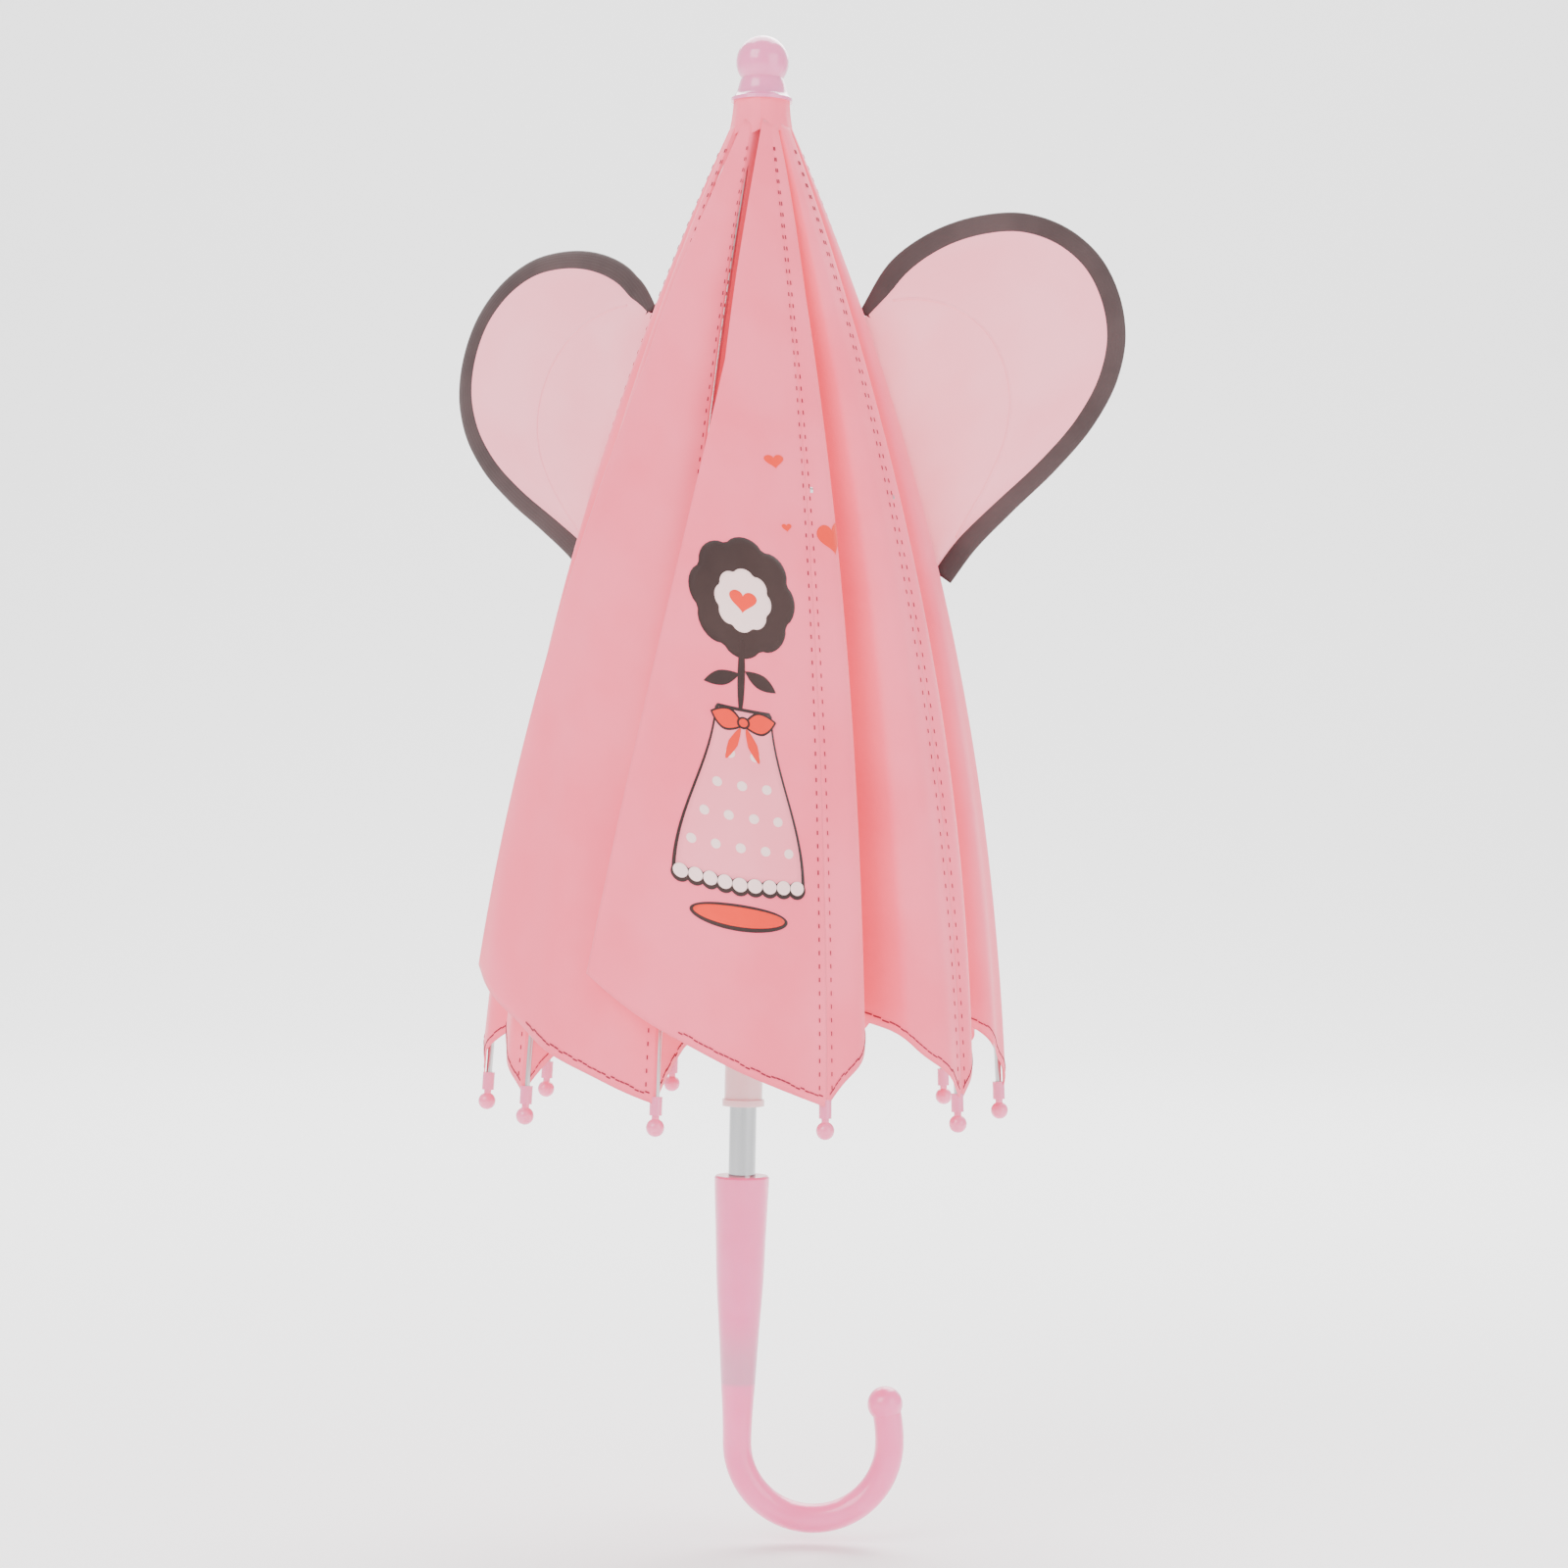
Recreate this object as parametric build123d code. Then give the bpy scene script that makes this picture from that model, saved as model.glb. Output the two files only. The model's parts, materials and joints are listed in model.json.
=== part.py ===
from build123d import *
import math
import os

# Child's dome umbrella, closed and unstrapped, in millimetres.
# Origin: shaft axis at the top face of the crook handle. +Z runs up the shaft to the ferrule,
# +X is the side that the crook opens to, -Y is the front. Azimuths turn from -Y towards +X.

# shaft and crown
SHAFT_R = 5.0
SHAFT_WALL = 0.6
SHAFT_BOTTOM = -75.6
SHAFT_TOP = 400.0
PIVOT_R = 8.0
PIVOT_Z = 388.0
NOTCH_R = 9.6
NOTCH_BOTTOM = 383.0
NOTCH_TOP = 393.0
NOTCH_SLOT = 2.8
RING_WIRE_R = 0.5

# ribs: a wire bowed into an arc, its slope measured from straight down
RIB_COUNT = 10
RIB_STEP = 360.0 / RIB_COUNT
FIRST_RIB = 18.0
RIB_LENGTH = 370.0
RIB_WIRE_R = 1.1
SLOPE_TOP = 24.0
SLOPE_END = 3.0
EYE_R = 1.7
EYE_THICK = 1.4
EYE_HOLE_R = 0.68

# stretchers: a flat strip beside each rib
STRETCHER_AT = 150.0
STRIP_THICK = 1.0
STRIP_WIDTH = 2.6
STRIP_GAP = 0.35
PIN_R = 0.75
PIN_CLEAR = 0.06
STRIP_EYE_R = 2.1

# runner and its catch
RUNNER_BORE_R = 5.08
RUNNER_R = 7.0
RUNNER_BOTTOM = 25.6
FLANGE_R = 7.8
FLANGE_H = 2.4
HEAD_R = 9.0
HEAD_BOTTOM = 66.0
HEAD_TOP = 80.0
RUNNER_JOINT_R = 10.6
RUNNER_JOINT_Z = 74.0
KEYWAY_W = 2.6
KEYWAY_R = 6.55
CATCH_BOTTOM = 114.0
CATCH_TOP = 123.6
CATCH_W = 1.8
CATCH_REACH = 6.3

# rib tips
TIP_BALL_R = 3.15
TIP_CUP_R = 2.2
TIP_CUP_LEN = 6.0
TIP_DROP = 4.6

# crook handle
HANDLE_TOP_R = 10.1
CROOK_TUBE_R = 5.3
CROOK_BEND_R = 28.0
CROOK_STRAIGHT_END = -97.5
CROOK_BALL_R = 6.5

# canopy: the outer part of each folded half panel
CLOTH = 0.6
CLOTH_OUT = 2.4
PANEL_NEAR = 4.4
PANEL_FAR = 16.4
PANEL_SAG = 0.97
PANEL_TOP = 380.0
PANEL_STATIONS = (0.0, 0.25, 0.5, 0.75, 1.0)
PANEL_HEM = 44.0

# ears
EAR_THICK = 1.6
EAR_LINE = ((41.0, 317.0), (54.0, 337.0), (81.0, 350.5), (107.0, 349.0), (126.5, 331.5),
            (131.5, 307.0), (119.0, 277.0), (92.0, 249.0), (71.0, 224.0))
LEFT_EAR_TURN = 40.0
EAR_HOLD = 12.0
LEFT_EAR_DROOP = 9.0

os.makedirs("parts", exist_ok=True)
BOW_R = RIB_LENGTH / math.radians(SLOPE_TOP - SLOPE_END)


def write(shape, node):
    """Write one node's solids."""
    export_step(shape, f"parts/{node}.step")


def rib_point(length):
    """(radius, height) on the rib's arc at a length along the wire from its pivot."""
    top = math.radians(SLOPE_TOP)
    here = top - length / BOW_R
    return (PIVOT_R + BOW_R * (math.cos(here) - math.cos(top)),
            PIVOT_Z - BOW_R * (math.sin(top) - math.sin(here)))


def rib_radius(height):
    """The rib's distance from the shaft axis at a height."""
    top = math.radians(SLOPE_TOP)
    here = math.asin(math.sin(top) - (PIVOT_Z - height) / BOW_R)
    return PIVOT_R + BOW_R * (math.cos(here) - math.cos(top))


def around(shape, azimuth):
    """Turn what was built in the XZ plane (radius along +X) to an azimuth."""
    return shape.rotate(Axis.Z, azimuth - 90.0)


def along_y(radius, length, r, z, y=0.0):
    """A cylinder whose axis is the tangent through (r, y, z), centred there."""
    return Pos(r, y, z) * Rot(90, 0, 0) * Cylinder(radius, length)


def polar(radius, azimuth, height):
    """A point from its radius, azimuth and height."""
    turn = math.radians(azimuth)
    return Vector(radius * math.sin(turn), -radius * math.cos(turn), height)


def rod_between(start, end, radius):
    """A round bar between two points of the XZ plane, given as (radius, height)."""
    a = Vector(start[0], 0, start[1])
    b = Vector(end[0], 0, end[1])
    plane = Plane(origin=a, z_dir=b - a)
    return plane * Cylinder(radius, (b - a).length, align=(Align.CENTER, Align.CENTER, Align.MIN))


# shaft tube, with the slot that its catch comes out of on the +X side
shaft_h = SHAFT_TOP - SHAFT_BOTTOM
low = (Align.CENTER, Align.CENTER, Align.MIN)
shaft = Pos(0, 0, SHAFT_BOTTOM) * (Cylinder(SHAFT_R, shaft_h, align=low)
                                   - Cylinder(SHAFT_R - SHAFT_WALL, shaft_h, align=low))
slot_h = CATCH_TOP - CATCH_BOTTOM + 0.8
slot_mid = (CATCH_TOP + CATCH_BOTTOM) / 2
shaft -= Pos(SHAFT_R, 0, slot_mid) * Box(4.0, CATCH_W + 0.4, slot_h)
write(shaft, "shaft_tube")

# the catch: a sprung wedge, square on top and sloped below
catch_line = Polyline((2.2, CATCH_BOTTOM), (4.7, CATCH_BOTTOM), (CATCH_REACH, CATCH_TOP - 1.6),
                      (CATCH_REACH, CATCH_TOP), (2.2, CATCH_TOP), close=True)
catch = extrude(Plane.XZ * make_face(catch_line), CATCH_W / 2, both=True)
write(catch, "catch_upper")

# crown notch: a grooved collar on the shaft that holds the ring wire and the rib eyes
notch_h = NOTCH_TOP - NOTCH_BOTTOM
notch = Pos(0, 0, NOTCH_BOTTOM) * (Cylinder(NOTCH_R, notch_h, align=low)
                                   - Cylinder(SHAFT_R + 0.02, notch_h, align=low))
for k in range(RIB_COUNT):
    cut = Pos(11.4, 0, PIVOT_Z - 2.0) * Box(11.0, NOTCH_SLOT, 9.0)
    notch -= around(cut, FIRST_RIB + k * RIB_STEP)
notch -= Pos(0, 0, PIVOT_Z) * Torus(PIVOT_R, RING_WIRE_R + 0.08)
write(notch, "crown_notch")
write(Pos(0, 0, PIVOT_Z) * Torus(PIVOT_R, RING_WIRE_R), "crown_ring_wire")

# ferrule cap: ball, waist and flared skirt, bored for the shaft's end
cap_z = 408.9
cap_r = 9.7
with BuildSketch(Plane.XZ) as cap_section:
    with BuildLine():
        waist = (8.5, 400.6)
        join = math.radians(-38.0)
        ball_low = (cap_r * math.cos(join), cap_z + cap_r * math.sin(join))
        Line((0, 401.0), (0, cap_z + cap_r))
        ThreePointArc((0, cap_z + cap_r), (cap_r, cap_z), ball_low)
        Spline(ball_low, waist, (9.4, 397.6), (11.3, 395.4))
        Line((11.3, 395.4), (11.3, 394.2))
        Line((11.3, 394.2), (10.0, 394.2))
        Line((10.0, 394.2), (7.4, 397.8))
        Line((7.4, 397.8), (SHAFT_R + 0.03, 397.8))
        Line((SHAFT_R + 0.03, 397.8), (SHAFT_R + 0.03, 401.0))
        Line((SHAFT_R + 0.03, 401.0), (0, 401.0))
    make_face()
write(revolve(cap_section.sketch, Axis.Z), "ferrule_cap")

# runner: sleeve, foot flange and stretcher head, with a keyway that lets it pass the catch
sleeve_h = HEAD_TOP - RUNNER_BOTTOM
runner = Pos(0, 0, RUNNER_BOTTOM) * Cylinder(RUNNER_R, sleeve_h, align=low)
runner += Pos(0, 0, RUNNER_BOTTOM) * Cylinder(FLANGE_R, FLANGE_H, align=low)
runner += Pos(0, 0, HEAD_BOTTOM) * Cylinder(HEAD_R, HEAD_TOP - HEAD_BOTTOM, align=low)
groove = Pos(0, 0, RUNNER_JOINT_Z) * (Cylinder(HEAD_R + 1, 3.0) - Cylinder(HEAD_R - 1.2, 3.0))
runner -= groove
runner -= Pos(0, 0, RUNNER_BOTTOM - 1) * Cylinder(RUNNER_BORE_R, sleeve_h + 2, align=low)
runner -= Pos(KEYWAY_R / 2, 0, RUNNER_BOTTOM - 1) * Box(KEYWAY_R, KEYWAY_W, sleeve_h + 2, align=low)
write(runner, "runner")

# crook handle: tapered grip with a socket for the shaft, then the bent tube and its ball end
grip_rings = ((0.0, HANDLE_TOP_R), (-20.0, 9.35), (-39.0, 8.65), (-58.0, 7.4), (-76.0, 6.35),
              (CROOK_STRAIGHT_END, CROOK_TUBE_R))
with BuildSketch(Plane.XZ) as grip_section:
    with BuildLine():
        Line((0, CROOK_STRAIGHT_END), (0, 0))
        Line((0, 0), (HANDLE_TOP_R - 0.6, 0))
        Line((HANDLE_TOP_R - 0.6, 0), (HANDLE_TOP_R, -0.8))
        Spline((HANDLE_TOP_R, -0.8), *[(r, z) for z, r in grip_rings[1:]],
               tangents=((-0.02, -1), (0, -1)))
        Line((CROOK_TUBE_R, CROOK_STRAIGHT_END), (0, CROOK_STRAIGHT_END))
    make_face()
grip = revolve(grip_section.sketch, Axis.Z)
grip -= Pos(0, 0, SHAFT_BOTTOM) * Cylinder(SHAFT_R + 0.02, -SHAFT_BOTTOM + 1, align=low)
bend_end = (2 * CROOK_BEND_R, CROOK_STRAIGHT_END)
ball_at = (2 * CROOK_BEND_R - 1.9, CROOK_STRAIGHT_END + 14.5)
bend = ThreePointArc((0, 0, CROOK_STRAIGHT_END),
                     (CROOK_BEND_R, 0, CROOK_STRAIGHT_END - CROOK_BEND_R),
                     (bend_end[0], 0, bend_end[1]))
upturn = TangentArc((bend_end[0], 0, bend_end[1]), (ball_at[0], 0, ball_at[1]), tangent=(0, 0, 1))
for path, start in ((bend, (0, 0, CROOK_STRAIGHT_END)), (upturn, (bend_end[0], 0, bend_end[1]))):
    grip += sweep(Plane(origin=start, z_dir=path % 0) * Circle(CROOK_TUBE_R), path)
grip += Pos(ball_at[0], 0, ball_at[1]) * Sphere(CROOK_BALL_R)
write(grip, "crook_handle")

# ribs, their tips and the stretchers, each built in the XZ plane and turned to its azimuth
joint = rib_point(STRETCHER_AT)
rib_end = rib_point(RIB_LENGTH)
start = (rib_point(0.6)[0], 0, rib_point(0.6)[1])
middle = rib_point(RIB_LENGTH / 2)
wire_path = ThreePointArc(start, (middle[0], 0, middle[1]), (rib_end[0], 0, rib_end[1]))
wire = sweep(Plane(origin=start, z_dir=wire_path % 0) * RegularPolygon(RIB_WIRE_R, 16), wire_path)
eye = along_y(EYE_R, EYE_THICK, PIVOT_R, PIVOT_Z)
pin_reach = RIB_WIRE_R + STRIP_GAP + STRIP_THICK + 0.9
pin = along_y(PIN_R, pin_reach, joint[0], joint[1], y=pin_reach / 2)
pin_head = along_y(PIN_R + 0.6, 0.5, joint[0], joint[1], y=pin_reach + 0.15)
rib = wire + eye + pin + pin_head - along_y(EYE_HOLE_R, EYE_THICK + 6, PIVOT_R, PIVOT_Z)

strip_y = RIB_WIRE_R + STRIP_GAP + STRIP_THICK / 2
foot = Vector(RUNNER_JOINT_R, strip_y, RUNNER_JOINT_Z)
head = Vector(joint[0], strip_y, joint[1])
run = (head - foot).length
lean = math.degrees(math.atan2(head.X - foot.X, head.Z - foot.Z))
strip = Pos(foot) * Rot(0, lean, 0) * Pos(0, 0, run / 2) * Box(STRIP_WIDTH, STRIP_THICK, run)
strip += along_y(STRIP_EYE_R, STRIP_THICK, head.X, head.Z, y=strip_y)
strip += along_y(STRIP_WIDTH / 2, STRIP_THICK, foot.X, foot.Z, y=strip_y)
strip -= along_y(PIN_R + PIN_CLEAR, 3.0, head.X, head.Z, y=strip_y)

slope = math.radians(SLOPE_END)
cup_start = rib_point(RIB_LENGTH - TIP_CUP_LEN)
ball = (rib_end[0] + TIP_DROP * math.sin(slope), rib_end[1] - TIP_DROP * math.cos(slope))
cup = rod_between(cup_start, (rib_end[0], rib_end[1] - 0.4), TIP_CUP_R)
neck = rod_between((rib_end[0], rib_end[1] - 0.2), ball, TIP_CUP_R * 0.6)
socket_path = sweep(Plane(origin=start, z_dir=wire_path % 0) * Circle(RIB_WIRE_R + 0.01), wire_path)
tip = cup + neck + Pos(ball[0], 0, ball[1]) * Sphere(TIP_BALL_R) - socket_path

for k in range(RIB_COUNT):
    azimuth = FIRST_RIB + k * RIB_STEP
    write(around(rib, azimuth), f"rib_{k + 1:02d}")
    write(around(strip, azimuth), f"stretcher_{k + 1:02d}")
    write(around(tip, azimuth), f"rib_tip_{k + 1:02d}")


def panel_section(height, azimuth, side):
    """One thin level cross-section of a half panel, from beside its rib to beside the fold."""
    near = azimuth + side * PANEL_NEAR
    far = azimuth + side * PANEL_FAR
    r_near = rib_radius(height) + CLOTH_OUT
    r_far = rib_radius(height) * PANEL_SAG + CLOTH_OUT
    outline = Polyline(polar(r_near, near, height), polar(r_far, far, height),
                       polar(r_far - CLOTH, far, height), polar(r_near - CLOTH, near, height),
                       close=True)
    return make_face(outline)


for k in range(RIB_COUNT):
    for side, name in ((-1, "left"), (1, "right")):
        sections = []
        for share in PANEL_STATIONS:
            z = PANEL_TOP + share * (PANEL_HEM - PANEL_TOP)
            sections.append(panel_section(z, FIRST_RIB + k * RIB_STEP, side))
        write(loft(sections, ruled=True), f"panel_{k + 1:02d}_{name}")

# ears: flat shapes sewn along the seams at the two sides
ear_points = [(x + CLOTH_OUT, z) for x, z in EAR_LINE]
ear_face = make_face(Plane.XZ * (Spline(*ear_points) + Line(ear_points[-1], ear_points[0])))
ear = extrude(ear_face, EAR_THICK / 2, both=True)
write(ear, "ear_right")
# the left ear droops about the top of its seam while its seam stays sewn, then turns about the seam
def drooped(x, z):
    """An outline point of the left ear, lowered in full once it is EAR_HOLD away from the seam."""
    dx, dz = x - ear_points[0][0], z - ear_points[0][1]
    sx, sz = ear_points[-1][0] - ear_points[0][0], ear_points[-1][1] - ear_points[0][1]
    away = min(1.0, abs(dx * sz - dz * sx) / math.hypot(sx, sz) / EAR_HOLD)
    turn = math.radians(LEFT_EAR_DROOP) * away
    return (ear_points[0][0] + dx * math.cos(turn) + dz * math.sin(turn),
            ear_points[0][1] - dx * math.sin(turn) + dz * math.cos(turn))


left_points = [(-x, z) for x, z in (drooped(*p) for p in ear_points)]
seam_top = Vector(left_points[0][0], 0, left_points[0][1])
seam_end = Vector(left_points[-1][0], 0, left_points[-1][1])
left_face = make_face(Plane.XZ * (Spline(*left_points) + Line(left_points[-1], left_points[0])))
left = extrude(left_face, EAR_THICK / 2, both=True)
left = left.rotate(Axis(seam_top, seam_end - seam_top), LEFT_EAR_TURN)
write(left, "ear_left")
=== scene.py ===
import json
import logging
import math
from dataclasses import dataclass, field
from enum import Enum

import bpy
import numpy as np
from mathutils import Matrix, Vector


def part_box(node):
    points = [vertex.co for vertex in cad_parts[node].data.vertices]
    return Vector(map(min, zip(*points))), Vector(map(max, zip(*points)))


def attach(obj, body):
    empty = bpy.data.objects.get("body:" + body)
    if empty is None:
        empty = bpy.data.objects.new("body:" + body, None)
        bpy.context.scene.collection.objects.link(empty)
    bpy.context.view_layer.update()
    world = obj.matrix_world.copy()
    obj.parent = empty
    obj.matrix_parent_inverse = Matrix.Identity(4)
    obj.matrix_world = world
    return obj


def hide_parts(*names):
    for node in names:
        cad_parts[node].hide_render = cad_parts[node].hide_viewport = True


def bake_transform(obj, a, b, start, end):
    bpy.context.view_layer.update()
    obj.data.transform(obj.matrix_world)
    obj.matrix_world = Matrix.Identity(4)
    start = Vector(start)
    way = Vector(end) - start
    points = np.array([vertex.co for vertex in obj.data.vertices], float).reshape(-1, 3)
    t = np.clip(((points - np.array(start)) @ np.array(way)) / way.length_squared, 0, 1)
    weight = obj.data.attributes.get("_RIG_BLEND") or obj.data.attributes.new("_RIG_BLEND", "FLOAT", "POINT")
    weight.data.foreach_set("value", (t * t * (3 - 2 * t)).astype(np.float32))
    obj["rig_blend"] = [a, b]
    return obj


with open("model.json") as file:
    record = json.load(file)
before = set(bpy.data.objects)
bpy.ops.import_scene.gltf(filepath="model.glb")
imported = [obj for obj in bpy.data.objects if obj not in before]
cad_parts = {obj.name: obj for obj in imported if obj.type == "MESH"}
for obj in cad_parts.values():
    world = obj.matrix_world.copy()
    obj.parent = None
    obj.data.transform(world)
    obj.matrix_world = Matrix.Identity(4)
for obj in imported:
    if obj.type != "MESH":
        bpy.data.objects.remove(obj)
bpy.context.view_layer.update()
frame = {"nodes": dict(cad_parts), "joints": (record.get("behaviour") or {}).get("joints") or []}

log = logging.getLogger("umbrella")
MM = 0.001
CLOTH_WALL = 0.3 * MM
INK_WALL = 0.06 * MM
THREAD_WALL = 0.22 * MM
BLEND_REACH = 0.05
Array = np.ndarray
Colour = tuple[float, float, float]


# ---------------------------------------------------------------- small helpers


def joint_limit(name: str) -> float:
    """The upper limit of a hinge of the frame, in radians."""
    joint = next(j for j in frame["joints"] if j["name"] == name)
    return math.radians(joint["range_deg"][1])


def smooth_path(t: Array, knots: Array, values: Array) -> Array:
    """A smooth line through knots: cubic Hermite pieces whose slopes are the neighbours' chords.

    Args:
        t: where to read it, any shape, from 0 to 1.
        knots: rising parameters of the points.
        values: the value at each knot.

    Returns:
        The values at t, in t's shape.
    """
    knots, values = np.asarray(knots, float), np.asarray(values, float)
    slopes = np.gradient(values, knots)
    i = np.clip(np.searchsorted(knots, t, side="right") - 1, 0, len(knots) - 2)
    width = knots[i + 1] - knots[i]
    x = (t - knots[i]) / width
    a = 2 * x**3 - 3 * x**2 + 1
    b = x**3 - 2 * x**2 + x
    c = 3 * x**2 - 2 * x**3
    d = x**3 - x**2
    return a * values[i] + b * width * slopes[i] + c * values[i + 1] + d * width * slopes[i + 1]


def grid_faces(rows: int, columns: int, wrap: bool = False) -> Array:
    """Quads of a grid of vertices as an (n, 4) array; wrap joins the last column to the first."""
    i, j = np.meshgrid(np.arange(rows - 1), np.arange(columns if wrap else columns - 1), indexing="ij")
    right = (j + 1) % columns
    here, below = i * columns, (i + 1) * columns
    quads = np.stack([here + j, below + j, below + right, here + right], -1)
    return quads.reshape(-1, 4)


def new_piece(name: str, points: Array, faces: Array, material: bpy.types.Material, smooth: bool = True,
              extra: tuple[tuple[int, ...], ...] = ()) -> bpy.types.Object:
    """A mesh object at the origin from arrays.

    Args:
        name: the piece's name.
        points: its vertices in metres, in the row frame.
        faces: quads as an (n, 4) array.
        material: the finish of every face.
        smooth: whether faces shade smoothly.
        extra: further faces, such as caps.

    Returns:
        The new object.
    """
    mesh = bpy.data.meshes.new(name)
    vertices = np.asarray(points, float).reshape(-1, 3).tolist()
    mesh.from_pydata(vertices, [], faces.tolist() + [list(f) for f in extra])
    mesh.polygons.foreach_set("use_smooth", [smooth] * len(mesh.polygons))
    mesh.update()
    mesh.materials.append(material)
    piece = bpy.data.objects.new(name, mesh)
    bpy.context.scene.collection.objects.link(piece)
    return piece


def thicken(piece: bpy.types.Object, thickness: float, offset: float = 0.0) -> None:
    """Give an open sheet its two faces and rim with a live Solidify."""
    wall = piece.modifiers.new("thickness", "SOLIDIFY")
    wall.thickness = thickness
    wall.offset = offset


# ---------------------------------------------------------------- finishes


class Nodes:
    """A short way to place and link shader nodes in one tree."""

    def __init__(self, tree: bpy.types.NodeTree) -> None:
        """Start on an empty tree."""
        self.tree = tree
        tree.nodes.clear()

    def add(self, kind: str, **values: object) -> bpy.types.Node:
        """Place a node; values set its properties, or its sockets by name with spaces as underscores."""
        node = self.tree.nodes.new(kind)
        for key, value in values.items():
            if hasattr(node, key):
                setattr(node, key, value)
            else:
                node.inputs[key.replace("_", " ")].default_value = value
        return node

    def link(self, out: bpy.types.NodeSocket, into: bpy.types.NodeSocket) -> None:
        """Join two sockets."""
        self.tree.links.new(out, into)


def make_group(name: str, inputs: dict[str, tuple[str, float]],
               outputs: dict[str, str]) -> tuple[Nodes, dict, dict]:
    """An empty node group with named sockets.

    Args:
        name: the group's name.
        inputs: socket name to its kind and default.
        outputs: socket name to its kind.

    Returns:
        The group's nodes, its inputs by name and its outputs by name.
    """
    tree = bpy.data.node_groups.new(name, "ShaderNodeTree")
    for label, (kind, default) in inputs.items():
        socket = tree.interface.new_socket(label, in_out="INPUT", socket_type=kind)
        if kind == "NodeSocketFloat":
            socket.default_value = default
    for label, kind in outputs.items():
        tree.interface.new_socket(label, in_out="OUTPUT", socket_type=kind)
    nodes = Nodes(tree)
    given = nodes.add("NodeGroupInput")
    result = nodes.add("NodeGroupOutput")
    return nodes, {k: given.outputs[k] for k in inputs}, {k: result.inputs[k] for k in outputs}


def weave_group() -> bpy.types.NodeTree:
    """Plain weave: two sets of threads at right angles multiplied, with a slow mottle for uneven dye."""
    nodes, given, result = make_group(
        "plain_weave", {"Place": ("NodeSocketVector", 0), "Threads": ("NodeSocketFloat", 900.0),
                        "Mottle": ("NodeSocketFloat", 22.0)},
        {"Height": "NodeSocketFloat", "Tone": "NodeSocketFloat"})
    waves = []
    for direction in ("X", "Y"):
        wave = nodes.add("ShaderNodeTexWave", wave_type="BANDS", bands_direction=direction, Distortion=0.4)
        nodes.link(given["Place"], wave.inputs["Vector"])
        nodes.link(given["Threads"], wave.inputs["Scale"])
        waves.append(wave.outputs["Fac"])
    cross = nodes.add("ShaderNodeMath", operation="MULTIPLY")
    nodes.link(waves[0], cross.inputs[0])
    nodes.link(waves[1], cross.inputs[1])
    nodes.link(cross.outputs[0], result["Height"])
    noise = nodes.add("ShaderNodeTexNoise", Detail=3.0)
    nodes.link(given["Place"], noise.inputs["Vector"])
    nodes.link(given["Mottle"], noise.inputs["Scale"])
    nodes.link(noise.outputs["Fac"], result["Tone"])
    return nodes.tree


def moulding_group() -> bpy.types.NodeTree:
    """Moulded plastic: faint flow marks for the height, a slow cloudiness for the tone."""
    nodes, given, result = make_group(
        "moulded_skin", {"Place": ("NodeSocketVector", 0), "Flow": ("NodeSocketFloat", 240.0)},
        {"Height": "NodeSocketFloat", "Tone": "NodeSocketFloat"})
    fine = nodes.add("ShaderNodeTexNoise", Detail=4.0)
    nodes.link(given["Place"], fine.inputs["Vector"])
    nodes.link(given["Flow"], fine.inputs["Scale"])
    slow = nodes.add("ShaderNodeTexNoise", Scale=45.0, Detail=2.0)
    nodes.link(given["Place"], slow.inputs["Vector"])
    nodes.link(fine.outputs["Fac"], result["Height"])
    nodes.link(slow.outputs["Fac"], result["Tone"])
    return nodes.tree


def start_material(name: str) -> tuple[bpy.types.Material, Nodes, bpy.types.Node]:
    """A new material with one Principled shader wired to its output."""
    material = bpy.data.materials.new(name)
    material.use_nodes = True
    nodes = Nodes(material.node_tree)
    shader = nodes.add("ShaderNodeBsdfPrincipled")
    output = nodes.add("ShaderNodeOutputMaterial")
    nodes.link(shader.outputs[0], output.inputs["Surface"])
    return material, nodes, shader


def two_tone(nodes: Nodes, factor: bpy.types.NodeSocket, low: Colour, high: Colour, span: tuple[float, float],
             into: bpy.types.NodeSocket) -> None:
    """Ramp a factor between two colours into a socket; span is where the change starts and ends."""
    ramp = nodes.add("ShaderNodeValToRGB")
    ramp.color_ramp.elements[0].position = span[0]
    ramp.color_ramp.elements[0].color = (*low, 1)
    ramp.color_ramp.elements[1].position = span[1]
    ramp.color_ramp.elements[1].color = (*high, 1)
    nodes.link(factor, ramp.inputs[0])
    nodes.link(ramp.outputs[0], into)


def bump_from(nodes: Nodes, height: bpy.types.NodeSocket, shader: bpy.types.Node, depth: float) -> None:
    """Raise the surface by a height socket, depth metres at most."""
    bump = nodes.add("ShaderNodeBump", Distance=depth, Strength=0.6)
    nodes.link(height, bump.inputs["Height"])
    nodes.link(bump.outputs[0], shader.inputs["Normal"])


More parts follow.
